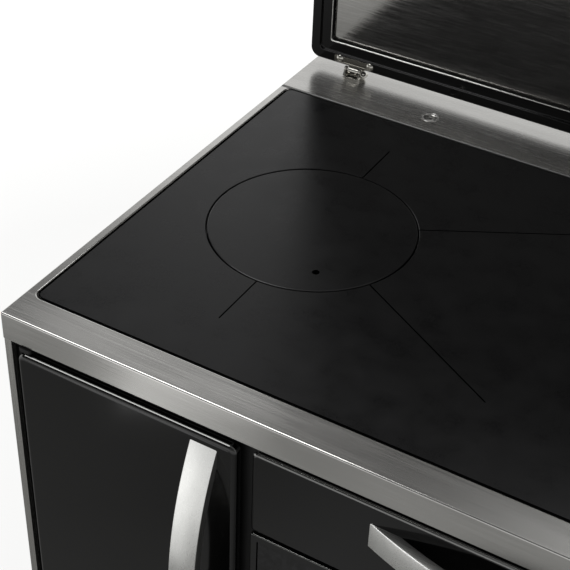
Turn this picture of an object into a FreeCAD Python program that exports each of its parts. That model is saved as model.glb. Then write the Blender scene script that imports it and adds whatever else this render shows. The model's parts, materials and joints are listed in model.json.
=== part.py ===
"""Wood-burning range cooker with a cast iron hob plate, a folding lid, a firebox, an oven and two drawers.

Every piece is drawn from the front left corner of the cooker on the floor: x runs right, y back and z up, in
millimetres. write() then moves it to the final origin, the bottom centre of the whole object.
"""
import FreeCAD, Part
import math
import os
from FreeCAD import Vector

os.makedirs("parts", exist_ok=True)

# ---- overall size --------------------------------------------------------------------------------
width = 900.0
depth = 600.0
height = 850.0            # floor to the steel rim of the hob
spigot_reach = 40.0       # how far the flue collar stands out behind the body
panel_return = 12.0       # folded edge of a side panel
sheet = 2.0               # folded steel sheet
plate = 3.0               # thicker steel plate

# ---- top frame and hob ---------------------------------------------------------------------------
fascia_height = 30.0
front_rim = 36.0
side_rim = 9.5
fold_radius = 1.8         # outer edges of the top frame
inner_fold = 1.5          # edge round the hob opening
rear_rim = 88.0
opening_radius = 10.0
plate_gap = 3.0
hob_thickness = 12.0
hob_drop = 0.5            # hob surface below the steel rim
ledge_width = 12.5
disc_x = 174.7
disc_y = 279.0
disc_radius = 107.3
disc_gap = 1.4
edge_bevel = 0.5          # ground edges of the disc and of its seat
disc_thickness = 8.2
disc_seat = 8.0           # width of the ledge that the disc rests on
tool_hole_radius = 3.8
tool_hole_reach = 77.0    # from the disc's centre
tool_hole_angle = -58.0
slot_width = 1.5
slot_reach_front = 176.0  # expansion slots, from the disc's centre
slot_reach_rear = 172.0
slot_reach_long = 298.0   # the two slots that fan out to the right
slot_fan = 30.0
rib_depth = 6.0
rib_width = 7.0
ray_reach_left = 138.0    # ribs that radiate from the disc's ring, towards the left
ray_reach_right = 205.0   # and between the slots
plug_x = 180.6
plug_y = 541.3
plug_radius = 10.5

# ---- base ----------------------------------------------------------------------------------------
base_z = 104.0
base_plate = 4.0
plinth_clear = 12.0
plinth_inset_x = 20.0
plinth_front = 50.0
plinth_back = 585.0
foot_inset_x = 60.0
foot_front = 92.0
foot_back = 540.0
foot_radius = 22.0
foot_stud = 6.0

# ---- front ---------------------------------------------------------------------------------------
frame_front = 10.0        # face of the cast front frame, behind the fascia
frame_thickness = 12.0
strip_width = 8.0
strip_front = 2.0
strip_depth = 20.0
strip_sheet = 3.0
door_left = 20.0
door_right = 262.0
oven_left = 274.5
oven_right = width - 20.0
door_top = height - 37.0
firebox_bottom = 463.0
ash_top = 455.0
oven_bottom = 308.0
drawer_top = 300.0
drawer_bottom = 112.0
proud_front = -6.0        # face of the firebox door and the ash drawer
flat_front = 0.0          # face of the oven door and the wood drawer
ash_pan_bottom = 326.0
ash_pan_top = 416.0
wood_box_bottom = 126.0
wood_box_top = 272.0
gasket_thickness = 2.0
slab_back = frame_front - gasket_thickness
panel_bottom = height - 134.0
oven_frame_top = panel_bottom - 4.0
oven_frame_border = 7.5
bar_width = 28.2
bar_thickness = 10.0

# ---- inside --------------------------------------------------------------------------------------
casing_inset = 14.0
casing_back_y = 540.0
shield_z = 300.0
fire_left = 30.0
fire_right = 268.0
fire_wall = 6.0
fire_back = 440.0
bearer_z = 474.0
bearer_thickness = 12.0
fire_front = 32.0         # bricks and bearer start behind the door's shield
grate_box = (62.0, 236.0, 66.0, 400.0)
grate_thickness = 12.0
brick = 24.0
brick_joint = 1.0
brick_top_left = 780.0
brick_top_back = 766.0
brick_top_right = 756.0   # the flames pass over this side towards the oven
fire_rib = 4.0
oven_in_left = 320.0
oven_in_right = 834.0
oven_in_bottom = 340.0
oven_in_top = 706.0
oven_back = 470.0
oven_sheet = 2.5
oven_radius = 22.0
flue_x = 760.0
flue_z = 700.0
flue_radius = 75.0
flue_wall = 3.5
rod_z = 829.0
rod_radius = 4.0
rod_front = -6.0
rod_back = 510.0

# ---- lid -----------------------------------------------------------------------------------------
lid_margin = 2.0
lid_face = 577.0          # inner face of the open lid
lid_depth = 16.0
lid_edge_radius = 10.0    # outer edges of the lid's tray
lid_bottom = height + 12.0
lid_length = 560.0
lid_rim = 12.0
lid_step = 13.0
lid_step_radius = 1.5
lid_step_depth = 3.0
lid_recess = 8.0
hinge_y = 578.0
hinge_z = height + 7.0
hinge_x = 61.0
knuckle_radius = 4.5
lid_pin_radius = 2.0

# ---- fits ----------------------------------------------------------------------------------------
pin_clearance = 0.05
slide_gap = 0.3

handle_reach = 40.0 - proud_front
origin = Vector(width / 2, (depth + spigot_reach - handle_reach) / 2, 0)


# ---- drawing helpers -----------------------------------------------------------------------------
def write(name, *solids):
    """Move the solids to the final origin and write them as one node."""
    shape = solids[0] if len(solids) == 1 else Part.makeCompound(list(solids))
    moved = shape.copy()
    moved.translate(origin * -1)
    moved.exportStep("parts/%s.step" % name)
    volume = sum(solid.Volume for solid in moved.Solids) / 1000
    print("%-24s %2d solids %9.1f cm3 valid %s" % (name, len(moved.Solids), volume, moved.isValid()))


def block(x0, x1, y0, y1, z0, z1):
    return Part.makeBox(x1 - x0, y1 - y0, z1 - z0, Vector(x0, y0, z0))


def rounded(a0, a1, b0, b1, radius, at):
    """Face of a rectangle with rounded corners; at(a, b) puts a drawing point in space."""
    k = radius * (1 - math.sqrt(0.5))
    if radius <= 0:
        corners = [(a0, b0), (a1, b0), (a1, b1), (a0, b1), (a0, b0)]
        return Part.Face(Part.makePolygon([at(a, b) for a, b in corners]))
    edges = []
    runs = [((a0 + radius, b0), (a1 - radius, b0), (a1 - k, b0 + k), (a1, b0 + radius)),
            ((a1, b0 + radius), (a1, b1 - radius), (a1 - k, b1 - k), (a1 - radius, b1)),
            ((a1 - radius, b1), (a0 + radius, b1), (a0 + k, b1 - k), (a0, b1 - radius)),
            ((a0, b1 - radius), (a0, b0 + radius), (a0 + k, b0 + k), (a0 + radius, b0))]
    for start, end, middle, after in runs:
        edges.append(Part.LineSegment(at(*start), at(*end)).toShape())
        edges.append(Part.Arc(at(*end), at(*middle), at(*after)).toShape())
    return Part.Face(Part.Wire(edges))


def lying(x0, x1, y0, y1, z0, z1, radius):
    """Flat plate with rounded corners seen from above."""
    return rounded(x0, x1, y0, y1, radius, lambda a, b: Vector(a, b, z0)).extrude(Vector(0, 0, z1 - z0))


def standing(x0, x1, z0, z1, y0, y1, radius):
    """Upright plate with rounded corners seen from the front."""
    return rounded(x0, x1, z0, z1, radius, lambda a, b: Vector(a, y0, b)).extrude(Vector(0, y1 - y0, 0))


def rod(start, end, radius):
    axis = end - start
    return Part.makeCylinder(radius, axis.Length, start, axis)


def fuse(first, *others):
    return first.multiFuse(list(others)).removeSplitter()


def soften(shape, radius, chosen):
    """Round the edges for which chosen(the edge's box) is true."""
    edges = [edge for edge in shape.Edges if chosen(edge.BoundBox)]
    return shape.makeFillet(radius, edges)


def front_edges(y):
    return lambda box: abs(box.YMin - y) < 0.01 and abs(box.YMax - y) < 0.01


def mirrored(shape):
    """The same piece on the cooker's other side."""
    return shape.mirror(Vector(width / 2, 0, 0), Vector(1, 0, 0))


def turned(profile, x, y, z):
    """Solid of revolution about a vertical axis from (radius, height) points."""
    points = [Vector(r, 0, h) for r, h in profile + profile[:1]]
    solid = Part.Face(Part.makePolygon(points)).revolve(Vector(0, 0, 0), Vector(0, 0, 1), 360)
    solid.translate(Vector(x, y, z))
    return solid


def swept(points, z0, z1):
    """Upright sheet profile from its outline seen from above."""
    outline = [Vector(x, y, z0) for x, y in points + points[:1]]
    return Part.Face(Part.makePolygon(outline)).extrude(Vector(0, 0, z1 - z0))


# ---- base ----------------------------------------------------------------------------------------
def levelling_feet():
    profile = [(0, 0), (foot_radius, 0), (foot_radius, 4), (foot_radius - 5, 8), (foot_stud + 3, 10),
               (foot_stud, 14), (foot_stud, base_z), (0, base_z)]
    places = [(x, y) for x in (foot_inset_x, width - foot_inset_x) for y in (foot_front, foot_back)]
    return [turned(profile, x, y, 0) for x, y in places]


def plinth():
    x0, x1 = plinth_inset_x, width - plinth_inset_x
    y0, y1 = plinth_front, plinth_back
    boards = [(x0, x1, y0, y0 + plate), (x0, x1, y1 - plate, y1),
              (x0, x0 + plate, y0 + plate, y1 - plate), (x1 - plate, x1, y0 + plate, y1 - plate)]
    return [block(a, b, c, d, plinth_clear, base_z) for a, b, c, d in boards]


def base_pan():
    return block(panel_return, width - panel_return, frame_front, depth - 6, base_z, base_z + base_plate)


# ---- outer skin ----------------------------------------------------------------------------------
def left_side_panel():
    front, back, fold = strip_front + strip_depth, depth - 6, panel_return
    outline = [(1, front), (fold, front), (fold, front + sheet), (1 + sheet, front + sheet),
               (1 + sheet, back - sheet), (fold, back - sheet), (fold, back), (1, back)]
    return swept(outline, base_z, height - fascia_height)


def back_panel():
    y0, y1 = depth - 6, depth - 4
    panel = block(plate, width - plate, y0, y1, base_z, height - plate)
    panel = panel.cut(rod(Vector(flue_x, y0 - 1, flue_z), Vector(flue_x, y1 + 1, flue_z), flue_radius + 5))
    louvre_long, louvre_high = 110.0, 6.0
    first_x, first_z, pitch_x, pitch_z = 130.0, 300.0, 150.0, 22.0
    for column in range(3):
        for row in range(4):
            x = first_x + column * pitch_x
            z = first_z + row * pitch_z
            hood = Part.makeCylinder(louvre_high / 2, louvre_long, Vector(x, y1, z), Vector(1, 0, 0))
            hood = hood.common(block(x, x + louvre_long, y1, y1 + 3.5, z - 5, z + 5))
            mouth = block(x + 2, x + louvre_long - 2, y0 - 1, y1 + 0.5, z - louvre_high, z - 1)
            panel = panel.fuse(hood).cut(mouth)
    return panel.removeSplitter()


def corner_strips():
    y0, y1, w, t = strip_front, strip_front + strip_depth, strip_width, strip_sheet
    lip = 6.0
    outline = [(0, y0), (w, y0), (w, y0 + lip), (w - t, y0 + lip),
               (w - t, y0 + t), (t, y0 + t), (t, y1), (0, y1)]
    left = swept(outline, base_z, height - fascia_height)
    return [left, mirrored(left)]


# ---- top frame and hob ---------------------------------------------------------------------------
opening = (side_rim, width - side_rim, front_rim, depth - rear_rim)
ledge_top = height - hob_drop - hob_thickness


def grown(box, by):
    return (box[0] - by, box[1] + by, box[2] - by, box[3] + by)


def top_frame():
    lower = height - fascia_height
    ledge_under = ledge_top - plate
    frame = block(0, width, 0, depth, lower, height)
    frame = soften(frame, fold_radius, lambda box: box.ZLength > 1 or box.ZMin > height - 0.01)
    frame = frame.cut(block(plate, width - plate, plate, depth - plate, lower - 1, height - plate))
    drop = lying(*grown(opening, plate), ledge_under, height - 1, opening_radius + plate)
    frame = frame.fuse(drop)
    frame = frame.cut(lying(*opening, ledge_top, height + 1, opening_radius))
    frame = frame.cut(lying(*grown(opening, -ledge_width), ledge_under - 1, height, opening_radius))
    frame = frame.cut(rod(Vector(flue_x, -1, rod_z), Vector(flue_x, plate + 1, rod_z), rod_radius + 1))
    plug = Vector(plug_x, plug_y, height)
    frame = frame.cut(rod(plug - Vector(0, 0, 4), plug + Vector(0, 0, 1), plug_radius))
    rim = lambda box: abs(box.ZMin - height) < 0.01 and box.YMin > front_rim - 1 and box.XLength > 30
    return soften(frame.removeSplitter(), inner_fold, rim)


def rear_strip_plug():
    edge = plug_radius - 0.2
    profile = [(0, -6), (5, -6), (5, -3), (edge, -3), (edge, 0), (edge - 0.8, 0.5),
               (edge - 2.8, 0.3), (edge - 3.8, -1), (0, -1.6)]
    return turned(profile, plug_x, plug_y, height)


def slot(angle, reach):
    """Narrow expansion slot with a round end, running out from the disc's rim."""
    half = slot_width / 2
    low = ledge_top - rib_depth - 1
    tall = height - low
    start = disc_radius - 2
    bar = Part.makeBox(reach - half - start, slot_width, tall, Vector(start, -half, low))
    end = Part.makeCylinder(half, tall, Vector(reach - half, 0, low))
    cut = bar.fuse(end)
    cut.rotate(Vector(0, 0, 0), Vector(0, 0, 1), angle)
    cut.translate(Vector(disc_x, disc_y, 0))
    return cut


def hob_ribs():
    """Ribs under the plate: a ring round the disc's seat, rays between the slots and a ladder."""
    z0, z1 = ledge_top - rib_depth, ledge_top
    inner = disc_radius + 6
    ring = Part.makeCylinder(inner + rib_width, z1 - z0, Vector(disc_x, disc_y, z0))
    ribs = [ring.cut(Part.makeCylinder(inner, z1 - z0, Vector(disc_x, disc_y, z0)))]
    for angle in (0, 45, 135, 180, 225, 315):
        reach = ray_reach_left if abs(angle - 180) < 50 else ray_reach_right
        ray = Part.makeBox(reach - inner - 2, rib_width, z1 - z0, Vector(inner + 2, -rib_width / 2, z0))
        ray.rotate(Vector(0, 0, 0), Vector(0, 0, 1), angle)
        ray.translate(Vector(disc_x, disc_y, 0))
        ribs.append(ray)
    ladder_x = (470.0, 596.0, 722.0)
    for y in (170.0, 380.0):
        ribs.append(block(ladder_x[0], ladder_x[-1] + rib_width, y, y + rib_width, z0, z1))
    for x in ladder_x:
        ribs.append(block(x, x + rib_width, 90, 460, z0, z1))
    return ribs


def hob_plate():
    edge = grown(opening, -plate_gap)
    top = height - hob_drop
    hob = lying(*edge, ledge_top, top, opening_radius - plate_gap)
    hob = fuse(hob, *hob_ribs())
    seat_z = top - disc_thickness
    centre = Vector(disc_x, disc_y, 0)
    mouth = disc_radius + disc_gap
    hob = hob.cut(Part.makeCylinder(mouth, height, centre + Vector(0, 0, seat_z)))
    rise = 2 * edge_bevel
    hob = hob.cut(Part.makeCone(mouth, mouth + rise, rise, centre + Vector(0, 0, top - edge_bevel)))
    hob = hob.cut(Part.makeCylinder(disc_radius - disc_seat, height, centre))
    for angle, reach in ((-90, slot_reach_front), (90, slot_reach_rear),
                         (slot_fan, slot_reach_long), (-slot_fan, slot_reach_long)):
        hob = hob.cut(slot(angle, reach))
    return hob


def hob_disc():
    top = height - hob_drop
    bottom = top - disc_thickness
    profile = [(0, bottom), (disc_radius - 1.5, bottom), (disc_radius, bottom + 3),
               (disc_radius, top - 2 * edge_bevel), (disc_radius - 0.6 * edge_bevel, top - 0.6 * edge_bevel),
               (disc_radius - 2 * edge_bevel, top), (0, top)]
    disc = turned(profile, disc_x, disc_y, 0)
    well = Part.makeCone(tool_hole_radius, tool_hole_radius + 3, disc_thickness, Vector(0, 0, top),
                         Vector(0, 0, -1))
    angle = math.radians(tool_hole_angle)
    across, along = tool_hole_reach * math.cos(angle), tool_hole_reach * math.sin(angle)
    well.translate(Vector(disc_x + across, disc_y + along, 0))
    return disc.cut(well)


# ---- front frame and carcass ---------------------------------------------------------------------
firebox_mouth = (46.0, 238.0, 478.0, 792.0)
ash_mouth = (46.0, 238.0, 322.0, 442.0)
oven_mouth = (oven_in_left - 2, oven_in_right + 2, oven_in_bottom - 2, oven_in_top + 2)
drawer_mouth = (32.0, width - 32, 120.0, 290.0)


def front_frame():
    y0, y1 = frame_front, frame_front + frame_thickness
    edge = strip_sheet
    frame = standing(edge, width - edge, base_z + base_plate, ledge_top - plate, y0, y1, 0)
    for mouth, radius in ((firebox_mouth, 14), (ash_mouth, 10),
                          (oven_mouth, oven_radius + 2), (drawer_mouth, 8)):
        frame = frame.cut(standing(*mouth, y0 - 1, y1 + 1, radius))
    frame = frame.cut(rod(Vector(flue_x, y0 - 1, rod_z), Vector(flue_x, y1 + 1, rod_z), rod_radius + 1))
    return frame


def casing_side():
    """Inner steel side with two pressed stiffening swages."""
    x0, x1 = casing_inset, casing_inset + plate
    side = block(x0, x1, frame_front + frame_thickness, casing_back_y,
                 base_z + base_plate, ledge_top - plate)
    swage_radius, swage_start, swage_long = 5.0, 80.0, 420.0
    for z in (390.0, 690.0):
        bead = Part.makeCylinder(swage_radius, swage_long, Vector(x1, swage_start, z), Vector(0, 1, 0))
        inner_half = block(x1, x1 + swage_radius - 1, swage_start, swage_start + swage_long,
                           z - swage_radius, z + swage_radius)
        side = side.fuse(bead.common(inner_half))
    return side.removeSplitter()


def casing_back():
    y0, y1 = casing_back_y, casing_back_y + plate
    back = block(casing_inset, width - casing_inset, y0, y1, base_z + base_plate, height - plate)
    back = back.cut(Part.makeCylinder(plug_radius + 1, 10, Vector(plug_x, plug_y, height - 10)))
    bore = flue_radius - flue_wall
    return back.cut(rod(Vector(flue_x, y0 - 1, flue_z), Vector(flue_x, y1 + 1, flue_z), bore))


def insulation_boards():
    """Mineral boards between the casing and the side and back panels."""
    low, top = base_z + base_plate, height - fascia_height
    clear = 1.0
    rear = depth - 10
    front = strip_front + strip_depth + 5
    left = block(plate + clear, casing_inset - clear / 2, front, rear - clear, low, top)
    back = block(casing_inset + clear, width - casing_inset - clear, casing_back_y + plate + clear, rear,
                 low, top)
    hole = flue_radius + 18
    back = back.cut(rod(Vector(flue_x, casing_back_y, flue_z), Vector(flue_x, depth, flue_z), hole))
    return [left, mirrored(left), back]


def drawer_heat_shield():
    inner = casing_inset + plate
    return block(inner, width - inner, frame_front + frame_thickness, casing_back_y,
                 shield_z, shield_z + plate)


# ---- firebox -------------------------------------------------------------------------------------
def firebox_side_wall(x0, top, rib_side):
    """Cast side plate with three upright ribs on its outer face; rib_side is -1 for the left plate."""
    y0 = frame_front + frame_thickness
    wall = block(x0, x0 + fire_wall, y0, fire_back + fire_wall, shield_z + plate, top)
    rib_x = x0 - fire_rib if rib_side < 0 else x0 + fire_wall
    ribs = [block(rib_x, rib_x + fire_rib, y, y + 8, bearer_z, top - 20) for y in (110.0, 230.0, 350.0)]
    return fuse(wall, *ribs)


def firebox_back_wall():
    left, right, back = fire_left + fire_wall, fire_right - fire_wall, fire_back + fire_wall
    wall = block(left, right, fire_back, back, shield_z + plate, brick_top_left)
    rib = block(left + 54, right - 54, back, back + fire_rib, 600, 610)
    return fuse(wall, rib)


def chamfered_brick(x0, x1, y0, y1, z0, z1):
    shape = block(x0, x1, y0, y1, z0, z1)
    return shape.makeChamfer(1.5, [edge for edge in shape.Edges if edge.BoundBox.ZLength > 1])


def firebricks():
    """Three bricks down each side and two across the back, standing on the grate bearer."""
    low = bearer_z + bearer_thickness
    left, right = fire_left + fire_wall, fire_right - fire_wall
    play = 0.2
    run = (fire_back - brick - 4 - fire_front) / 3
    bricks = []
    for row in range(3):
        y0 = fire_front + row * run
        y1 = y0 + run - brick_joint
        bricks.append(chamfered_brick(left + play, left + brick, y0, y1, low, brick_top_left))
        bricks.append(chamfered_brick(right - brick, right - play, y0, y1, low, brick_top_right))
    middle = (left + right) / 2
    y0, y1 = fire_back - brick, fire_back - play
    bricks.append(chamfered_brick(left + 1, middle - brick_joint / 2, y0, y1, low, brick_top_back))
    bricks.append(chamfered_brick(middle + brick_joint / 2, right - 1, y0, y1, low, brick_top_back))
    return bricks


def grate_bearer():
    """Cast ledge round the ash hole; the grate and the bricks stand on it."""
    bearer = block(fire_left + fire_wall, fire_right - fire_wall, fire_front, fire_back, bearer_z,
                   bearer_z + bearer_thickness)
    ash_hole = (*grown(grate_box, -18), bearer_z - 1, bearer_z + bearer_thickness + 1)
    return bearer.cut(lying(*ash_hole, 12))


def fire_grate():
    """Cast grate: tapering slots, narrow above and wide below, leave wedge-shaped bars."""
    x0, x1, y0, y1 = grate_box
    z0 = bearer_z + bearer_thickness
    z1 = z0 + grate_thickness
    grate = lying(x0, x1, y0, y1, z0, z1, 10)
    pitch, narrow, wide = 14.0, 6.0, 9.0
    count = 10
    first = (x0 + x1) / 2 - pitch * (count - 1) / 2
    for y_start, y_end in ((y0 + 24, 226.0), (240.0, y1 - 24)):
        for index in range(count):
            x = first + index * pitch
            section = [Vector(x - wide / 2, y_start, z0 - 1), Vector(x + wide / 2, y_start, z0 - 1),
                       Vector(x + narrow / 2, y_start, z1 + 1), Vector(x - narrow / 2, y_start, z1 + 1)]
            gap = Part.Face(Part.makePolygon(section + section[:1])).extrude(Vector(0, y_end - y_start, 0))
            grate = grate.cut(gap)
    return grate


# ---- oven and smoke path -------------------------------------------------------------------------
def oven_liner():
    y0 = frame_front + frame_thickness
    inner = (oven_in_left, oven_in_right, oven_in_bottom, oven_in_top)
    outer = grown(inner, oven_sheet)
    liner = standing(*outer, y0, oven_back + oven_sheet, oven_radius + oven_sheet)
    flange = standing(*grown(inner, 12), y0, y0 + sheet, oven_radius + 12)
    liner = liner.fuse(flange).cut(standing(*inner, y0 - 1, oven_back, oven_radius))
    return liner.removeSplitter()


rack_levels = (420.0, 520.0, 620.0)


def rack_runners():
    """Pressed runners at three heights on two straps each side."""
    strap, runner_width, runner_height = 1.5, 8.0, 3.0
    wall = oven_in_left
    left = []
    for z in rack_levels:
        left.append(block(wall + strap, wall + runner_width, 44, 440, z, z + runner_height))
    for y in (90.0, 380.0):
        left.append(block(wall, wall + strap, y, y + 16, rack_levels[0] - 20, rack_levels[-1] + 20))
    left = fuse(*left)
    return [left, mirrored_oven(left)]


def mirrored_oven(shape):
    return shape.mirror(Vector((oven_in_left + oven_in_right) / 2, 0, 0), Vector(1, 0, 0))


def oven_rack():
    """Wire shelf: a round frame, lengthways wires over it and two cross stays under them."""
    x0, x1, y0, y1 = oven_in_left + 4, oven_in_right - 4, 46.0, 438.0
    r, wire = 3.0, 1.6
    z = rack_levels[0] + 3 + r + 0.1
    pieces = [rod(Vector(x, y0, z), Vector(x, y1, z), r) for x in (x0 + r, x1 - r)]
    pieces += [rod(Vector(x0 + r, y, z), Vector(x1 - r, y, z), r) for y in (y0, y1)]
    count = 17
    for index in range(count):
        x = x0 + r + (x1 - x0 - 2 * r) * (index + 1) / (count + 1)
        pieces.append(rod(Vector(x, y0, z + r * 0.8), Vector(x, y1, z + r * 0.8), wire))
    pieces.append(rod(Vector(x0 + r, (y0 + y1) / 2, z), Vector(x1 - r, (y0 + y1) / 2, z), wire + 0.4))
    return fuse(*pieces)


flue_box_size = (680.0, 840.0, 484.0, casing_back_y, 560.0, 780.0)


def flue_box():
    """Collecting box in front of the flue: a start-up port on top and a port below."""
    x0, x1, y0, y1, z0, z1 = flue_box_size
    box = block(x0, x1, y0, y1, z0, z1)
    box = box.cut(block(x0 + sheet, x1 - sheet, y0 + sheet, y1 + 1, z0 + sheet, z1 - sheet))
    box = box.cut(block(x0 + 20, x1 - 20, y0 + 8, y1 - 10, z1 - 5, z1 + 1))
    return box.cut(block(x0 + 20, x1 - 20, y0 + 8, y1 - 10, z0 - 1, z0 + 5))


def flue_collar():
    """Flanged collar with a shoulder that stops the pipe just behind the back panel."""
    start, end = casing_back_y + plate, depth + spigot_reach
    rings = [(start, start + 5, flue_radius + 15), (start, depth, flue_radius + 4),
             (depth - 1, end, flue_radius)]
    solids = [rod(Vector(flue_x, y0, flue_z), Vector(flue_x, y1, flue_z), r) for y0, y1, r in rings]
    bore = rod(Vector(flue_x, start - 1, flue_z), Vector(flue_x, end + 1, flue_z), flue_radius - flue_wall)
    return fuse(*solids).cut(bore)


def damper_rod():
    """Pull rod behind the fascia with its knob in front and a leg down to the damper plate."""
    pull = rod(Vector(flue_x, rod_front, rod_z), Vector(flue_x, rod_back, rod_z), rod_radius)
    plate_top = flue_box_size[5] + slide_gap + plate
    leg = block(flue_x - 5, flue_x + 5, rod_back - 10, rod_back - 4, plate_top, rod_z)
    return fuse(pull, leg)


def damper_knob():
    """Turned knob: waisted neck and a domed face."""
    neck, face = 6.0, 9.5
    profile = [(0, 4), (neck, 4), (neck - 1, 8), (face - 1, 13), (face, 15),
               (face, 20), (face - 2, 22.5), (0, 23.5)]
    points = [Vector(flue_x + r, -h, rod_z) for r, h in profile + profile[:1]]
    knob = Part.Face(Part.makePolygon(points)).revolve(Vector(flue_x, 0, rod_z), Vector(0, 1, 0), 360)
    bore = rod(Vector(flue_x, rod_front, rod_z), Vector(flue_x, 0, rod_z), rod_radius + pin_clearance)
    return knob.cut(bore)


def damper_plate():
    x0, x1, y0, y1, z0, z1 = flue_box_size
    low = z1 + slide_gap
    return block(x0 + 12, x1 - 12, y0 + 2, y1 - 4, low, low + plate)


def drawer_runners():
    """Flat strips under the ash pan and the wood drawer."""
    front = frame_front + frame_thickness + 2
    ash = [block(x, x + 12, front, 430, shield_z + plate, ash_pan_bottom) for x in (66.0, 206.0)]
    wood = [block(x, x + 24, front, 510, base_z + base_plate, wood_box_bottom) for x in (60.0, width - 84)]
    return ash + wood


# ---- bar handles ---------------------------------------------------------------------------------
def arch(length, reach, thickness, across, to_space):
    """Flat bar bent to an arc whose two ends are cut flush with the door; to_space(s, d) places a point."""
    radius = (length ** 2 / 4 + reach ** 2) / (2 * reach)
    centre = reach - radius
    inner = radius - thickness
    half_in = math.sqrt(inner ** 2 - centre ** 2)
    a, b = to_space(-length / 2, 0), to_space(length / 2, 0)
    c, d = to_space(half_in, 0), to_space(-half_in, 0)
    outer_arc = Part.Arc(a, to_space(0, reach), b).toShape()
    inner_arc = Part.Arc(c, to_space(0, reach - thickness), d).toShape()
    ends = [Part.LineSegment(b, c).toShape(), Part.LineSegment(d, a).toShape()]
    return Part.Face(Part.Wire([outer_arc, ends[0], inner_arc, ends[1]])).extrude(across)


firebox_bar = {"x": 214.4, "length": 330.0, "reach": 40.0, "middle": 638.4}
oven_bar = {"length": 370.0, "reach": 34.0, "z": height - 86.2, "middle": (oven_left + oven_right) / 2}
ash_bar = {"length": 150.0, "reach": 30.0, "z": 352.0, "middle": (door_left + door_right) / 2}
drawer_bar = {"length": 370.0, "reach": 34.0, "z": 222.0, "middle": width / 2}


def firebox_door_handle():
    def to_space(s, d):
        return Vector(firebox_bar["x"], proud_front - d, firebox_bar["middle"] + s)
    length, reach = firebox_bar["length"], firebox_bar["reach"]
    return arch(length, reach, bar_thickness, Vector(bar_width, 0, 0), to_space)


def lying_bar(bar, face):
    def to_space(s, d):
        return Vector(bar["middle"] + s, face - d, bar["z"])
    return arch(bar["length"], bar["reach"], bar_thickness, Vector(0, 0, bar_width), to_space)


# ---- firebox door --------------------------------------------------------------------------------
door_pin_x = door_left + 7
door_pin_y = (proud_front + slab_back) / 2
door_pin_radius = 2.8
shield_box = (50.0, 234.0, 482.0, 788.0)
shield_back = 28.0


def proud_slab(z0, z1):
    """Enamelled slab of the firebox side: rounded corners and generously rounded front edges."""
    slab = standing(door_left, door_right, z0, z1, proud_front, slab_back, 8)
    slab = soften(slab, 5, front_edges(proud_front))
    return slab


def firebox_door_panel():
    panel = proud_slab(firebox_bottom, door_top)
    back_left = lambda box: box.ZLength > 300 and box.XMax < door_left + 0.1 and box.YMin > slab_back - 0.1
    panel = soften(panel, 6.5, back_left)
    for z0 in (firebox_bottom - 1, door_top - 14):
        bore = Part.makeCylinder(door_pin_radius + pin_clearance, 15, Vector(door_pin_x, door_pin_y, z0))
        panel = panel.cut(bore)
    return panel


def firebox_hinge_brackets():
    """Lugs on the front frame above and below the door, each with its pin."""
    brackets = []
    for z0, pin_z in ((door_top + 1.5, door_top - 12.5), (firebox_bottom - 5.5, firebox_bottom - 1.5)):
        lug = lying(door_left, door_left + 14, door_pin_y - 3.4, frame_front, z0, z0 + 4, 3)
        pin = Part.makeCylinder(door_pin_radius, 14, Vector(door_pin_x, door_pin_y, pin_z))
        brackets.append(fuse(lug, pin))
    return brackets


def firebox_door_shield():
    """Heat shield tray on the back of the door."""
    tray = standing(*shield_box, slab_back, shield_back, 12)
    hollow = standing(*grown(shield_box, -plate), slab_back - 1, shield_back - plate, 9)
    return tray.cut(hollow)


def ring_gasket(box, wide, y0, y1, radius):
    outer = standing(*grown(box, wide), y0, y1, radius + wide)
    return outer.cut(standing(*box, y0 - 1, y1 + 1, radius))


def firebox_door_latch():
    """Spring catch on the shield's free side: a cover plate and a half-round nose."""
    x = shield_box[1]
    y0, y1 = frame_front, shield_back - 1
    middle = (firebox_bottom + door_top) / 2
    cover = block(x, x + 0.8, y0, y1, middle - 23, middle + 23)
    nose = Part.makeCylinder(9, 12, Vector(x - 7.4, (y0 + y1) / 2, middle - 6), Vector(0, 0, 1))
    return fuse(cover, nose.common(block(x, x + 2, y0, y1, middle - 6, middle + 6)))


# ---- oven door -----------------------------------------------------------------------------------
oven_pin_y = (flat_front + slab_back) / 2
oven_pin_z = oven_bottom + 4
oven_pin_radius = 2.4
glass_box = (oven_left + oven_frame_border, oven_right - oven_frame_border,
             oven_bottom + oven_frame_border + 0.5, oven_frame_top - oven_frame_border)
body_back = 38.0
window_box = (400.0, 754.0, 402.0, 640.0)
backing_front = 6.0


def oven_door_panel():
    panel = standing(oven_left, oven_right, panel_bottom, door_top, flat_front, backing_front, 5)
    return soften(panel, 3.5, front_edges(flat_front))


def oven_door_frame():
    """Frame round the glass; its bottom rail is full thickness and carries the pins."""
    frame = standing(oven_left, oven_right, oven_bottom, oven_frame_top, flat_front, backing_front, 3)
    frame = soften(frame, 1.5, front_edges(flat_front))
    rail = block(oven_left, oven_right, flat_front, slab_back,
                 oven_bottom, oven_bottom + oven_frame_border + 0.5)
    rounded_edge = lambda box: box.XLength > 100 and box.ZMax < oven_bottom + 0.1
    rail = soften(rail, 3.9, rounded_edge)
    rail_room = block(oven_left - 1, oven_right + 1, flat_front - 1, slab_back + 1,
                      oven_bottom - 1, oven_bottom + 6)
    frame = fuse(frame.cut(rail_room), rail)
    frame = frame.cut(standing(*glass_box, flat_front - 1, backing_front + 1, 1.5))
    for x in (oven_left - 1, oven_right - 17):
        start = Vector(x, oven_pin_y, oven_pin_z)
        frame = frame.cut(rod(start, start + Vector(18, 0, 0), oven_pin_radius + pin_clearance))
    return frame


def oven_door_glass():
    pane = standing(*grown(glass_box, -0.4), flat_front + 0.8, backing_front - 0.4, 1.5)
    return soften(pane, 0.8, front_edges(flat_front + 0.8))


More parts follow.
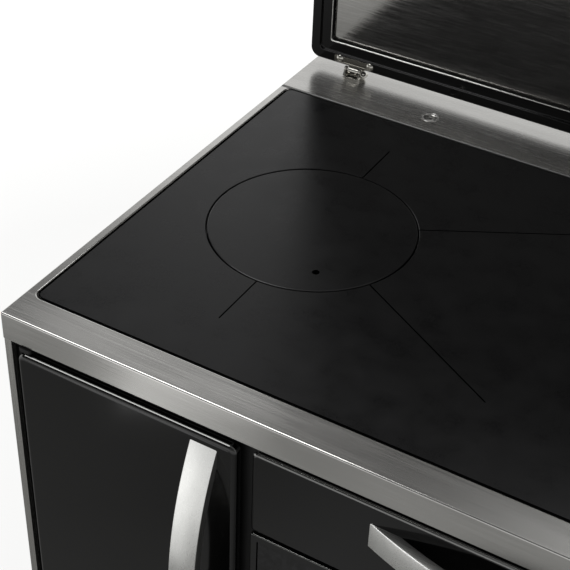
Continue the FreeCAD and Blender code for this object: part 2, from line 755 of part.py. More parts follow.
def oven_door_body():
    """Backing sheet behind panel and glass, and the insulated plug that fills the oven mouth."""
    x0, x1, z0, z1 = oven_in_left + 4, oven_in_right - 4, oven_in_bottom + 4, oven_in_top - 4
    backing = standing(oven_left + 2, oven_right - 2, oven_bottom + 9, door_top - 2,
                       backing_front, slab_back, 4)
    plug = standing(x0, x1, z0, z1, slab_back, body_back, oven_radius - 2)
    body = backing.fuse(plug)
    room = block(x0 + 3, x1 - 3, slab_back, body_back - 3, z0 + 20, z1 - 20)
    room = room.cut(grown_window(10, slab_back - 1, body_back))
    body = body.cut(room)
    return body.cut(standing(*window_box, backing_front - 1, body_back + 1, 6)).removeSplitter()


def grown_window(by, y0, y1):
    return standing(*grown(window_box, by), y0, y1, 6)


def oven_door_inner_glass():
    return standing(*grown(window_box, -0.2), body_back - 7, body_back - 3, 5.8)


def oven_hinge_brackets():
    """Lugs at both ends of the bottom rail, each with its pin."""
    lug = standing(oven_left - 6, oven_left - 2, oven_bottom - 3, oven_bottom + 11,
                   flat_front, frame_front, 0)
    start = Vector(oven_left - 6, oven_pin_y, oven_pin_z)
    left = fuse(lug, rod(start, start + Vector(20, 0, 0), oven_pin_radius))
    right = left.mirror(Vector((oven_left + oven_right) / 2, 0, 0), Vector(1, 0, 0))
    return [left, right]


# ---- ash drawer ----------------------------------------------------------------------------------
air_z = 431.0
air_pitch = 22.0
air_offsets = (-66.0, -44.0, -22.0, 22.0, 44.0, 66.0)
air_travel = 11.0
ash_middle = (door_left + door_right) / 2


def air_slots(shift, y0, y1):
    """Row of upright air slots."""
    cuts = []
    for offset in air_offsets:
        x = ash_middle + offset + shift
        cuts.append(standing(x - 4, x + 4, air_z - 6, air_z + 6, y0, y1, 3.9))
    return cuts


def ash_drawer_front():
    front = proud_slab(oven_bottom, ash_top)
    for cut in air_slots(0, proud_front - 1, slab_back + 1):
        front = front.cut(cut)
    stud_slot = standing(ash_middle - 4, ash_middle + air_travel + 4, air_z - 3, air_z + 3,
                         proud_front - 1, slab_back + 1, 2.9)
    return front.cut(stud_slot)


def ash_pan():
    """Pan with drafted walls, lofted between its rim and its smaller floor."""
    def tapered(inset, z_low):
        floor = grown(rim, -draft - inset)
        mouth = grown(rim, -inset)
        low = rounded(*floor, 12, lambda a, b: Vector(a, b, z_low))
        high = rounded(*mouth, 12, lambda a, b: Vector(a, b, ash_pan_top))
        return Part.makeLoft([low.OuterWire, high.OuterWire], True, True)
    rim = (50.0, 234.0, slab_back, 400.0)
    draft = 8.0
    return tapered(0, ash_pan_bottom).cut(tapered(sheet, ash_pan_bottom + sheet))


def air_shutter():
    """Slotted slide behind the drawer front; its knob stands in front of the drawer."""
    y0, y1 = slab_back + slide_gap, frame_front - slide_gap
    shutter = standing(ash_middle - 84, ash_middle + 78, air_z - 11, air_z + 9, y0, y1, 2)
    for cut in air_slots(-air_travel, y0 - 1, y1 + 1):
        shutter = shutter.cut(cut)
    stud = rod(Vector(ash_middle, y0, air_z), Vector(ash_middle, proud_front - 3, air_z), 2.4)
    knob_back, knob_front = proud_front - slide_gap, proud_front - 9
    knob = rod(Vector(ash_middle, knob_back, air_z), Vector(ash_middle, knob_front, air_z), 6)
    knob = soften(knob, 1.5, front_edges(knob_front))
    return fuse(shutter, stud, knob)


# ---- wood drawer ---------------------------------------------------------------------------------
def wood_drawer_front():
    front = standing(door_left, oven_right, drawer_bottom, drawer_top, flat_front, slab_back, 5)
    return soften(front, 3.5, front_edges(flat_front))


def wood_drawer_box():
    """Open box with a folded rim down each side."""
    x0, x1, y0, y1, z0, z1 = 40.0, width - 40, slab_back, 500.0, wood_box_bottom, wood_box_top
    box = lying(x0, x1, y0, y1, z0, z1, 0)
    box = box.cut(lying(x0 + sheet, x1 - sheet, y0 + sheet, y1 - sheet, z0 + sheet, z1 + 1, 0))
    rim = block(x0 - 4, x0 + sheet, y0 + 12, y1, z1 - sheet, z1)
    return fuse(box, rim, mirrored(rim))


# ---- lid -----------------------------------------------------------------------------------------
lid_box = (lid_margin, width - lid_margin, lid_bottom, lid_bottom + lid_length)
lid_back = lid_face + lid_depth
liner_face = lid_face + lid_recess


def lid_shell():
    """Enamelled tray with a stepped rim, hollow behind the liner."""
    shell = standing(*lid_box, lid_face, lid_back, 12)
    shell = soften(shell, lid_edge_radius, front_edges(lid_back))
    step = grown(lid_box, -lid_rim)
    window = grown(step, -lid_step)
    shell = shell.cut(standing(*step, lid_face - 1, lid_face + lid_step_depth, 6))
    shell = shell.cut(standing(*window, lid_face, liner_face + 1, 4))
    room = standing(*grown(lid_box, -sheet), liner_face, lid_back - sheet, lid_edge_radius)
    room = soften(room, 5.5, front_edges(lid_back - sheet))
    shell = shell.cut(room)
    shell = soften(shell, 1.2, front_edges(lid_face))
    return soften(shell, lid_step_radius, front_edges(lid_face + lid_step_depth))


def lid_liner():
    return standing(*grown(lid_box, -2 * sheet), liner_face, liner_face + 1.5, 7)


def lid_buffers():
    z = lid_box[3] - lid_rim / 2
    front = lid_face - (lid_face - hinge_y + hinge_z - height) + slide_gap
    return [rod(Vector(x, lid_face, z), Vector(x, front, z), 4.5) for x in (30.0, width - 30)]


def lid_hinge_leaves():
    """Leaf screwed to the lid's rim, with a knuckle between the base's cheeks."""
    leaf = standing(hinge_x - 28, hinge_x + 28, lid_bottom + 1, lid_bottom + 10.5, lid_face - 2, lid_face, 3)
    pin_at = Vector(hinge_x, hinge_y, hinge_z)
    knuckle = rod(pin_at - Vector(7, 0, 0), pin_at + Vector(7, 0, 0), knuckle_radius)
    web = block(hinge_x - 7, hinge_x + 7, lid_face - 3.5, lid_face - slide_gap, hinge_z, lid_bottom + 3)
    leaf = fuse(leaf, knuckle, web)
    bore = lid_pin_radius + pin_clearance
    leaf = leaf.cut(rod(pin_at - Vector(9, 0, 0), pin_at + Vector(9, 0, 0), bore))
    return [leaf, mirrored(leaf)]


def lid_hinge_screws():
    heads = []
    for x in (hinge_x - 21, hinge_x + 20):
        centre = Vector(x, lid_face - 2, lid_bottom + 6)
        ball = Part.makeSphere(5.0, centre + Vector(0, 2.8, 0))
        head = ball.common(block(x - 6, x + 6, lid_face - 4.2, lid_face - 2, lid_bottom, lid_bottom + 13))
        heads += [head, mirrored(head)]
    return heads


def lid_hinge_bases():
    """Base plate on the rear strip, two cheeks round the pin and a stop lug under the open lid."""
    base = lying(hinge_x - 12, hinge_x + 13, 565, 593, height, height + 2, 3)
    parts = []
    for x0 in (hinge_x - 11, hinge_x + 7.5):
        eye = Part.makeCylinder(knuckle_radius, 3.5, Vector(x0, hinge_y, hinge_z), Vector(1, 0, 0))
        leg = block(x0, x0 + 3.5, hinge_y - knuckle_radius, hinge_y + knuckle_radius, height + 1, hinge_z)
        parts += [eye, leg]
    parts.append(block(hinge_x - 11, hinge_x + 11, 584, 588, height + 1, lid_bottom - slide_gap))
    base = fuse(base, *parts)
    start = Vector(hinge_x - 12, hinge_y, hinge_z)
    base = base.cut(rod(start, start + Vector(24, 0, 0), lid_pin_radius))
    return [base, mirrored(base)]


def lid_hinge_pins():
    start = Vector(hinge_x - 12.5, hinge_y, hinge_z)
    pin = rod(start, start + Vector(25, 0, 0), lid_pin_radius)
    return [pin, mirrored(pin)]


# ---- write every node ----------------------------------------------------------------------------
write("levelling_feet", *levelling_feet())
write("plinth", *plinth())
write("base_pan", base_pan())
write("left_side_panel", left_side_panel())
write("right_side_panel", mirrored(left_side_panel()))
write("back_panel", back_panel())
write("corner_strips", *corner_strips())
write("top_frame", top_frame())
write("rear_strip_plug", rear_strip_plug())
write("hob_plate", hob_plate())
write("hob_disc", hob_disc())
write("front_frame", front_frame())
write("casing_left", casing_side())
write("casing_right", mirrored(casing_side()))
write("casing_back", casing_back())
write("insulation_boards", *insulation_boards())
write("drawer_heat_shield", drawer_heat_shield())
write("firebox_left_wall", firebox_side_wall(fire_left, 825, -1))
write("firebox_right_wall", firebox_side_wall(fire_right - fire_wall, 760, 1))
write("firebox_back_wall", firebox_back_wall())
write("firebricks", *firebricks())
write("grate_bearer", grate_bearer())
write("fire_grate", fire_grate())
write("oven_liner", oven_liner())
write("rack_runners", *rack_runners())
write("oven_rack", oven_rack())
write("flue_box", flue_box())
write("flue_collar", flue_collar())
write("damper_rod", damper_rod())
write("damper_knob", damper_knob())
write("damper_plate", damper_plate())
write("drawer_runners", *drawer_runners())
write("firebox_door_panel", firebox_door_panel())
write("firebox_door_shield", firebox_door_shield())
write("firebox_door_gasket", ring_gasket(firebox_mouth, 8, slab_back, frame_front, 14))
write("firebox_door_latch", firebox_door_latch())
write("firebox_door_handle", firebox_door_handle())
write("firebox_hinge_brackets", *firebox_hinge_brackets())
write("oven_door_panel", oven_door_panel())
write("oven_door_frame", oven_door_frame())
write("oven_door_glass", oven_door_glass())
write("oven_door_body", oven_door_body())
write("oven_door_inner_glass", oven_door_inner_glass())
write("oven_door_gasket", ring_gasket(oven_mouth, 9, slab_back, frame_front, oven_radius + 2))
write("oven_door_handle", lying_bar(oven_bar, flat_front))
write("oven_hinge_brackets", *oven_hinge_brackets())
write("ash_drawer_front", ash_drawer_front())
write("ash_pan", ash_pan())
write("ash_drawer_handle", lying_bar(ash_bar, proud_front))
write("air_shutter", air_shutter())
write("wood_drawer_front", wood_drawer_front())
write("wood_drawer_box", wood_drawer_box())
write("wood_drawer_handle", lying_bar(drawer_bar, flat_front))
write("lid_shell", lid_shell())
write("lid_liner", lid_liner())
write("lid_buffers", *lid_buffers())
write("lid_hinge_leaves", *lid_hinge_leaves())
write("lid_hinge_screws", *lid_hinge_screws())
write("lid_hinge_bases", *lid_hinge_bases())
write("lid_hinge_pins", *lid_hinge_pins())
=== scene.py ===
import json
import math

import bmesh
import bpy
import numpy as np
from mathutils import Matrix, Vector


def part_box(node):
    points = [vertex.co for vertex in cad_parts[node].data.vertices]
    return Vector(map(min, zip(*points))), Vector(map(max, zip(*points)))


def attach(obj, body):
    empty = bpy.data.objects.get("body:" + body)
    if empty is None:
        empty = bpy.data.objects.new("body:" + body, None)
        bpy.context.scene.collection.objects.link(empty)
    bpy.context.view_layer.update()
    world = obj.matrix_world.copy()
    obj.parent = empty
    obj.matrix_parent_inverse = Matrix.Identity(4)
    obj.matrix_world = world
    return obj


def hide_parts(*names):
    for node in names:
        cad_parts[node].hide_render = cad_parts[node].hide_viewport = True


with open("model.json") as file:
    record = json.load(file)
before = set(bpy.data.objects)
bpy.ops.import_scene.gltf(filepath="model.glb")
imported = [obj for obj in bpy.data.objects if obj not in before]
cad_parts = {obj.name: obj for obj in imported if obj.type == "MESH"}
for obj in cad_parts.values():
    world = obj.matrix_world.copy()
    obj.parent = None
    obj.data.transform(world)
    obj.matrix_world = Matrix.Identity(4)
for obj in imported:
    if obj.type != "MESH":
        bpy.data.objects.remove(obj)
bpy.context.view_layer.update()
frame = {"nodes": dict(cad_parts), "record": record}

nodes = frame["nodes"]
mm = 0.001


# ---- colours and shader nodes ----

def hexToLinear(code):
    # an sRGB channel c is c / 12.92 below 0.04045 and ((c + 0.055) / 1.055) ^ 2.4 above it
    channels = [int(code[i:i + 2], 16) / 255 for i in (1, 3, 5)]
    linear = [c / 12.92 if c <= 0.04045 else ((c + 0.055) / 1.055) ** 2.4 for c in channels]
    return (*linear, 1.0)


def addNode(tree, kind, inputs=None, **settings):
    # one shader node; an input that is another node's output is linked, any other is set
    node = tree.nodes.new(kind)
    for key, value in settings.items():
        setattr(node, key, value)
    for socket, value in (inputs or {}).items():
        if isinstance(value, bpy.types.NodeSocket):
            tree.links.new(value, node.inputs[socket])
        else:
            node.inputs[socket].default_value = value
    return node


def newMaterial(name, values):
    # a material with its Principled shader; colours come in as hex
    material = bpy.data.materials.new(name)
    material.use_nodes = True
    tree = material.node_tree
    shader = tree.nodes["Principled BSDF"]
    for socket, value in values.items():
        shader.inputs[socket].default_value = hexToLinear(value) if isinstance(value, str) else value
    return material, tree, shader


def connect(tree, shader, sources):
    for socket, source in sources.items():
        tree.links.new(source, shader.inputs[socket])


def ownPlace(tree):
    # a point of the surface in the piece's own space, in metres
    return addNode(tree, "ShaderNodeTexCoord").outputs["Object"]


def split(tree, vector):
    return addNode(tree, "ShaderNodeSeparateXYZ", {0: vector}).outputs


def calculate(tree, operation, first, second=0.0):
    # one step of arithmetic on numbers or other nodes' outputs
    return addNode(tree, "ShaderNodeMath", {0: first, 1: second}, operation=operation).outputs[0]


def blend(tree, factor, first, second, kind="FLOAT"):
    # first at factor 0, second at factor 1
    inputs = {"Factor": factor, "A": first, "B": second}
    return addNode(tree, "ShaderNodeMix", inputs, data_type=kind).outputs["Result"]


def grain(tree, sizeMm, detail=3.0, rough=0.55, place=None):
    # noise whose blobs measure sizeMm on the real piece, one size or three for x, y and z
    sizes = sizeMm if isinstance(sizeMm, (tuple, list)) else [sizeMm] * 3
    inputs = {0: place or ownPlace(tree), 1: [1 / (size * mm) for size in sizes]}
    scaled = addNode(tree, "ShaderNodeVectorMath", inputs, operation="MULTIPLY")
    inputs = {"Scale": 1.0, "Detail": detail, "Roughness": rough, "Vector": scaled.outputs[0]}
    return addNode(tree, "ShaderNodeTexNoise", inputs).outputs["Fac"]


noiseSpan = (0.3, 0.7)  # where nearly all of the noise lies


def between(tree, factor, low, high, start=0.0, end=1.0):
    # maps a factor from start..end to low..high
    inputs = {"Value": factor, "From Min": start, "From Max": end, "To Min": low, "To Max": high}
    return addNode(tree, "ShaderNodeMapRange", inputs).outputs["Result"]


def roughAbout(tree, factor, roughness, smoother, rougher, span=noiseSpan):
    # roughness that varies with a factor
    return between(tree, factor, roughness - smoother, roughness + rougher, *span)


def shades(tree, factor, low, high, start=noiseSpan[0], end=noiseSpan[1]):
    # a colour between two hex values, driven by a factor
    ramp = addNode(tree, "ShaderNodeValToRGB", {"Fac": factor})
    for stop, position, code in zip(ramp.color_ramp.elements, (start, end), (low, high)):
        stop.position = position
        stop.color = hexToLinear(code)
    return ramp.outputs["Color"]


def bump(tree, shader, height, depthMm, strength=1.0):
    inputs = {"Strength": strength, "Distance": depthMm * mm, "Height": height}
    connect(tree, shader, {"Normal": addNode(tree, "ShaderNodeBump", inputs).outputs["Normal"]})


def brushAlong(tree, shader, direction):
    # the brushing direction in the piece's own space, turned with the piece
    axis = addNode(tree, "ShaderNodeCombineXYZ", dict(zip("XYZ", direction)))
    turned = addNode(tree, "ShaderNodeVectorTransform", {0: axis.outputs[0]}, vector_type="VECTOR",
                     convert_from="OBJECT", convert_to="WORLD")
    connect(tree, shader, {"Tangent": turned.outputs[0]})


# ---- materials ----

acrossBrushing = 0.25  # anisotropic rotation that smears highlights across the lines


def brushed(name, low, high, roughness, along, lineMm=0.7, runMm=70.0, anisotropy=0.55, depthMm=0.012):
    # stainless sheet drawn under an abrasive belt: long fine lines that smear highlights across themselves;
    # the real lines are 0.1 mm apart and are drawn at lineMm so that they show
    material, tree, shader = newMaterial(name, {"Metallic": 1.0, "Anisotropic": anisotropy,
                                                "Anisotropic Rotation": acrossBrushing})
    lines = grain(tree, [runMm if axis == along else lineMm for axis in "XYZ"], detail=4.0, rough=0.6)
    clouds = grain(tree, [runMm * 2 if axis == along else lineMm * 14 for axis in "XYZ"], detail=2.0)
    connect(tree, shader, {"Base Color": shades(tree, blend(tree, 0.35, lines, clouds), low, high),
                           "Roughness": roughAbout(tree, lines, roughness, 0.05, 0.06)})
    brushAlong(tree, shader, [float(axis == along) for axis in "XYZ"])
    bump(tree, shader, lines, depthMm, strength=0.5)
    return material


# the rear band beside the iron is darkened to a painted-shade colour
topLook = {"lineMm": 0.9, "runMm": 90, "cloudMm": (160, 24, 24), "cloudShare": 0.4, "depthMm": 0.01,
           "cutWidth": 5 * mm, "paintedShadeColour": "#6a6a69", "cutRougher": 0.2, "rearRougher": 0.045}


def topSteel(name, low, high, roughness, opening, anisotropy=0.6):
    # the frame round the hob: brushed along the cooker in front and behind, and along the short rims at the
    # sides; the rear strip is drawn coarser, and the band at the rear edge beside the iron is made rougher
    # and darkened with painted shade
    material, tree, shader = newMaterial(name, {"Metallic": 1.0, "Anisotropic": anisotropy,
                                                "Anisotropic Rotation": acrossBrushing})
    place = ownPlace(tree)
    x, y = split(tree, place)[:2]
    sideEdge, frontEdge, rearEdge = opening
    beside = calculate(tree, "GREATER_THAN", calculate(tree, "ABSOLUTE", x), sideEdge)
    within = calculate(tree, "MULTIPLY", calculate(tree, "GREATER_THAN", y, frontEdge),
                       calculate(tree, "LESS_THAN", y, rearEdge))
    side = calculate(tree, "MULTIPLY", beside, within)
    notSide = calculate(tree, "SUBTRACT", 1.0, side)
    line, run = topLook["lineMm"], topLook["runMm"]
    lines = blend(tree, side, grain(tree, (run, line, line), detail=5.0, rough=0.7, place=place),
                  grain(tree, (line, run, line), detail=5.0, rough=0.7, place=place))
    clouds = grain(tree, topLook["cloudMm"], detail=2.0, rough=0.5, place=place)
    mixed = blend(tree, topLook["cloudShare"], lines, clouds)
    # painted shade: the band just behind the opening is darkened to its own colour, and also made rougher
    rear = calculate(tree, "GREATER_THAN", y, rearEdge)
    cut = calculate(tree, "LESS_THAN", y, rearEdge + topLook["cutWidth"])
    rougherAndShadedBand = calculate(tree, "MULTIPLY", calculate(tree, "MULTIPLY", rear, cut), notSide)
    metal = blend(tree, rougherAndShadedBand, shades(tree, mixed, low, high), hexToLinear(topLook["paintedShadeColour"]), "RGBA")
    coarser = calculate(tree, "ADD", roughAbout(tree, lines, roughness, 0.04, 0.05),
                        calculate(tree, "MULTIPLY", rear, topLook["rearRougher"]))
    uneven = calculate(tree, "ADD", coarser, calculate(tree, "MULTIPLY", rougherAndShadedBand, topLook["cutRougher"]))
    connect(tree, shader, {"Base Color": metal, "Roughness": uneven})
    brushAlong(tree, shader, (notSide, side, 0.0))
    bump(tree, shader, lines, topLook["depthMm"], strength=0.3)
    return material


# upward part of the normal where the painted highlight on a fold starts, and where the level top begins
foldSlope = {"fold": (0.3, 0.7), "flat": (0.97, 1.0)}


def paintedTopHighlight(tree, shader, colour, edge):
    # painted highlight: where the piece folds over at its top, the finish turns to metal of the edge's colour
    up = split(tree, addNode(tree, "ShaderNodeTexCoord").outputs["Normal"])["Z"]
    paintedHighlightMask = calculate(tree, "MULTIPLY", between(tree, up, 0.0, 1.0, *foldSlope["fold"]),
                     between(tree, up, 1.0, 0.0, *foldSlope["flat"]))
    connect(tree, shader, {"Metallic": paintedHighlightMask})
    return blend(tree, paintedHighlightMask, colour, hexToLinear(edge), "RGBA")


def gloss(name, low, high, roughness, specular, waveMm=5.0, waveDepthMm=0.02, edge=None):
    # vitreous enamel fired on sheet or casting: glass-smooth, with a faint orange peel that bends
    # reflections; edge is the colour of a painted highlight, a bright metal line along the top fold
    material, tree, shader = newMaterial(name, {"Specular IOR Level": specular})
    colour = shades(tree, grain(tree, 40, detail=2.0), low, high)
    # painted highlight along the top fold, in the edge colour
    if edge:
        colour = paintedTopHighlight(tree, shader, colour, edge)
    specks = grain(tree, 0.7, detail=2.0)
    connect(tree, shader, {"Base Color": colour,
                           "Roughness": roughAbout(tree, specks, roughness, 0.02, 0.04)})
    bump(tree, shader, grain(tree, waveMm, detail=1.0), waveDepthMm, strength=0.6)
    return material


def iron(name, low, high, roughness, specular, grainMm=0.9, depthMm=0.02):
    # cast iron, ground flat or left from the sand, under a thin matte black coat
    material, tree, shader = newMaterial(name, {"Specular IOR Level": specular})
    fine = grain(tree, grainMm, detail=5.0, rough=0.65)
    mixed = blend(tree, 0.5, fine, grain(tree, 30, detail=3.0))
    span = (0.35, 0.65)
    connect(tree, shader, {"Base Color": shades(tree, mixed, low, high, *span),
                           "Roughness": roughAbout(tree, mixed, roughness, 0.04, 0.06, span)})
    bump(tree, shader, fine, depthMm, strength=0.5)
    return material


def spangle(name, low, high, roughness, crystalMm=9):
    # hot-dip galvanised sheet: frost-like crystals, each reflecting a little differently
    material, tree, shader = newMaterial(name, {"Metallic": 1.0})
    place = ownPlace(tree)
    cells = addNode(tree, "ShaderNodeTexVoronoi", {"Scale": 1 / (crystalMm * mm), "Vector": place})
    tone = addNode(tree, "ShaderNodeSeparateColor", {0: cells.outputs["Color"]}).outputs[0]
    connect(tree, shader, {"Base Color": shades(tree, tone, low, high, 0.0, 1.0),
                           "Roughness": roughAbout(tree, tone, roughness, 0.08, 0.1, (0.0, 1.0))})
    bump(tree, shader, grain(tree, 1.5, detail=2.0, rough=0.5, place=place), 0.02, strength=0.4)
    return material


def plating(name, low, high, roughness):
    # small nickel-plated fittings: bright, with faint handling marks
    material, tree, shader = newMaterial(name, {"Metallic": 1.0})
    marks = grain(tree, 1.6, detail=4.0, rough=0.6)
    connect(tree, shader, {"Base Color": shades(tree, marks, low, high),
                           "Roughness": roughAbout(tree, marks, roughness, 0.04, 0.08)})
    bump(tree, shader, marks, 0.01, strength=0.3)
    return material


def fleckedEnamel(name, ground, fleck, roughness, spacingMm=3.2):
    # oven enamel: dark ground with pale flecks of 1 mm scattered in it
    material, tree, shader = newMaterial(name, {"Specular IOR Level": 0.45, "Roughness": roughness})
    place = ownPlace(tree)
    cells = addNode(tree, "ShaderNodeTexVoronoi", {"Scale": 1 / (spacingMm * mm), "Vector": place})
    spot = between(tree, cells.outputs["Distance"], 1.0, 0.0, 0.1, 0.2)
    connect(tree, shader, {"Base Color": shades(tree, spot, ground, fleck, 0.2, 0.9)})
    bump(tree, shader, grain(tree, 4, detail=1.0, rough=0.5, place=place), 0.02, strength=0.5)
    return material


def fireclay(name, low, high):
    # pressed refractory brick: sandy, with grog grains of 1 to 2 mm and soft pits
    material, tree, shader = newMaterial(name, {"Roughness": 0.92, "Specular IOR Level": 0.25})
    sand = grain(tree, 1.3, detail=6.0, rough=0.7)
    mixed = blend(tree, 0.45, sand, grain(tree, 22, detail=3.0))
    connect(tree, shader, {"Base Color": shades(tree, mixed, low, high, 0.35, 0.65)})
    bump(tree, shader, sand, 0.5, strength=0.7)
    return material


def fibre(name, low, high, sizeMm, depthMm):
    # mineral wool pressed to a board: short fibres lying flat
    material, tree, shader = newMaterial(name, {"Roughness": 0.95, "Specular IOR Level": 0.1,
                                                "Sheen Weight": 0.2})
    strands = grain(tree, sizeMm, detail=6.0, rough=0.7)
    connect(tree, shader, {"Base Color": shades(tree, strands, low, high)})
    bump(tree, shader, strands, depthMm, strength=0.8)
    return material


def braid(name, low, high, turnRadians=0.9, wavesPerMm=0.16):
    # woven glass rope, dyed charcoal: the yarns cross about every 2 mm along the rope's own map
    material, tree, shader = newMaterial(name, {"Roughness": 0.9, "Specular IOR Level": 0.15,
                                                "Sheen Weight": 0.25})
    along = addNode(tree, "ShaderNodeUVMap", uv_map="ropeMap").outputs["UV"]
    waves = []
    for turn in (turnRadians, -turnRadians):
        turned = addNode(tree, "ShaderNodeMapping", {"Rotation": (0, 0, turn), "Vector": along})
        inputs = {"Scale": wavesPerMm / mm, "Distortion": 0.4, "Vector": turned.outputs[0]}
        waves.append(addNode(tree, "ShaderNodeTexWave", inputs).outputs["Fac"])
    crossed = calculate(tree, "MAXIMUM", *waves)
    connect(tree, shader, {"Base Color": shades(tree, crossed, low, high, 0.4, 1.0)})
    bump(tree, shader, crossed, 0.3, strength=0.8)
    return material


def clearPane(name, hexColour, roughness, transmission):
    # heat-proof pane: perfectly smooth but for a faint roll ripple
    material, tree, shader = newMaterial(name, {"Base Color": hexColour, "Roughness": roughness,
                                                "Transmission Weight": transmission, "IOR": 1.47})
    bump(tree, shader, grain(tree, 60, detail=1.0), 0.05, strength=0.3)
    return material


def darkPane(name, low, high, roughness, specular):
    # outer oven glass, black behind: soot and heat have left a faint mottle on its inner coat
    material, tree, shader = newMaterial(name, {"Specular IOR Level": specular, "Roughness": roughness})
    mottle = grain(tree, 9.0, detail=6.0, rough=0.75)
    connect(tree, shader, {"Base Color": shades(tree, mottle, low, high, 0.42, 0.6)})
    bump(tree, shader, mottle, 0.03, strength=0.35)
    return material


def rubberSkin(name, low, high):
    # moulded buffer: dull, slightly dusty
    material, tree, shader = newMaterial(name, {"Roughness": 0.75, "Specular IOR Level": 0.3})
    connect(tree, shader, {"Base Color": shades(tree, grain(tree, 2), low, high, 0.3, 0.8)})
    return material


print("materials")
hobLow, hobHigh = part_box("hob_plate")
opening = (hobHigh.x + 1.5 * mm, hobLow.y, hobHigh.y)
enamel = {"low": "#060607", "high": "#090909", "roughness": 0.1, "specular": 0.42}
bar = {"roughness": 0.3, "runMm": 40.0, "anisotropy": 0.3}
finishes = {
    "stainless": topSteel("brushedStainless", "#b3b2af", "#d0cfcc", 0.2, opening),
    "strips": brushed("brushedCornerStrip", "#b2b1ae", "#c4c3c0", 0.25, "Z"),
    "bar_steel": brushed("satinBarSteel", "#c8c8c6", "#dadad7", along="Z", **bar),
    "bar_steel_lying": brushed("satinBarSteelLying", "#dddddb", "#ebebe8", along="X", lineMm=0.5, **bar),
    "hob_iron": iron("groundHobIron", "#060607", "#09090a", 0.29, 0.36, grainMm=0.8, depthMm=0.01),
    "cast_black": iron("castIronBlack", "#0b0b0b", "#121212", 0.5, 0.35, grainMm=1.2, depthMm=0.08),
    "black_enamel": gloss("blackEnamel", **enamel),
    # door, panel and frame enamel carry a painted highlight along their top folds, in the edge colour
    "door_enamel": gloss("doorEnamel", edge="#666665", **enamel),
    "panel_enamel": gloss("panelEnamel", edge="#d0d0ce", **enamel),
    "frame_enamel": gloss("frameEnamel", edge="#868684", **enamel),
    "lid_enamel": gloss("lidEnamel", "#040404", "#060606", 0.09, 0.26),
    "liner_steel": brushed("brushedLidLiner", "#a1a09d", "#bdbcb9", 0.12, "X", lineMm=1.3, runMm=34.0,
                           anisotropy=0.5, depthMm=0.05),
    "plated_steel": plating("nickelPlating", "#b9b7b0", "#d2d0c9", 0.14),
    # a darker copy of the plating for the hinge leaves: painted shade on the same plated steel
    "shaded_plating": plating("platingPaintedShade", "#68665f", "#8a8880", 0.12),
    "polished_trim": plating("polishedTrim", "#cfcecb", "#dfdedb", 0.1),
    "zinc_steel": spangle("galvanisedSheet", "#8d9091", "#a9acad", 0.42),
    "oven_enamel": fleckedEnamel("ovenEnamel", "#17191b", "#7d8287", 0.28),
    "firebrick": fireclay("fireclayBrick", "#b99c72", "#d2b991"),
    "mineral_board": fibre("mineralBoard", "#a3945f", "#bcae78", sizeMm=(6, 0.5, 3), depthMm=0.4),
    "rope": braid("glassRope", "#1c1c1c", "#3b3b3a"),
    "dark_glass": darkPane("blackOvenGlass", "#050506", "#212123", 0.08, 0.36),
    "clear_glass": clearPane("heatProofGlass", "#dfe9e4", 0.02, 0.92),
    "rubber": rubberSkin("mouldedRubber", "#161617", "#2a2a2b"),
}
slotOf = {part["node"]: part["material_slot"] for part in frame["record"]["subparts"]}
ownFinish = {"corner_strips": "strips", "lid_shell": "lid_enamel", "firebox_door_panel": "door_enamel",
             "oven_door_panel": "panel_enamel", "oven_door_frame": "frame_enamel",
             "firebox_hinge_brackets": "cast_black"}
for name, obj in nodes.items():
    finish = ownFinish.get(name, slotOf[name])
    obj.data.materials.clear()
    obj.data.materials.append(finishes[finish])


# ---- meshes ----

def gridFaces(rows, columns, wrapRows=False):
    # quads of a grid whose columns close into rings; wrapRows also joins the last ring to the first
    i = np.arange(rows if wrapRows else rows - 1)[:, None]
    j = np.arange(columns)[None, :]
    nextRow, nextColumn = (i + 1) % rows, (j + 1) % columns
    corners = [i * columns + j, i * columns + nextColumn, nextRow * columns + nextColumn,
               nextRow * columns + j]
    return np.stack(np.broadcast_arrays(*corners), -1).reshape(-1, 4).tolist()


def ringShell(points, wrapRows=False):
    # rings of points (rows, columns, 3) joined by quads, with a face over each open end
    rows, columns = points.shape[:2]
    faces = gridFaces(rows, columns, wrapRows)
    if not wrapRows:
        faces.append(list(range(columns - 1, -1, -1)))
        faces.append(list(range((rows - 1) * columns, rows * columns)))
    return points.reshape(-1, 3), faces


def joined(shells):
    # several shells as one list of points and one of faces
    points, faces, start = [], [], 0
    for shellPoints, shellFaces in shells:
        points.append(shellPoints)
        faces += [[index + start for index in face] for face in shellFaces]
        start += len(shellPoints)
    return np.concatenate(points), faces


mergeDistance = 0.002 * mm


def makePiece(name, shell, finish, body, replaced=(), sharpDegrees=40, uv=None):
    # merges doubles, points faces outwards, shades smooth up to sharpDegrees and seats the piece on its body;
    # a piece with a map (its name and one place per point) keeps all its points
    mesh = bpy.data.meshes.new(name)
    mesh.from_pydata(shell[0].tolist(), [], shell[1])
    if uv is not None:
        layer = mesh.uv_layers.new(name=uv[0])
        corners = np.zeros(len(mesh.loops), np.int32)
        mesh.loops.foreach_get("vertex_index", corners)
        layer.data.foreach_set("uv", uv[1][corners].astype(np.float32).ravel())
    work = bmesh.new()
    work.from_mesh(mesh)
    if uv is None:
        bmesh.ops.remove_doubles(work, verts=work.verts, dist=mergeDistance)
    bmesh.ops.recalc_face_normals(work, faces=work.faces)
    work.to_mesh(mesh)
    work.free()
    mesh.shade_smooth()
    mesh.set_sharp_from_angle(angle=math.radians(sharpDegrees))
    mesh.materials.append(finishes[finish])
    obj = bpy.data.objects.new(name, mesh)
    bpy.context.scene.collection.objects.link(obj)
    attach(obj, body)
    if replaced:
        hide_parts(*replaced)


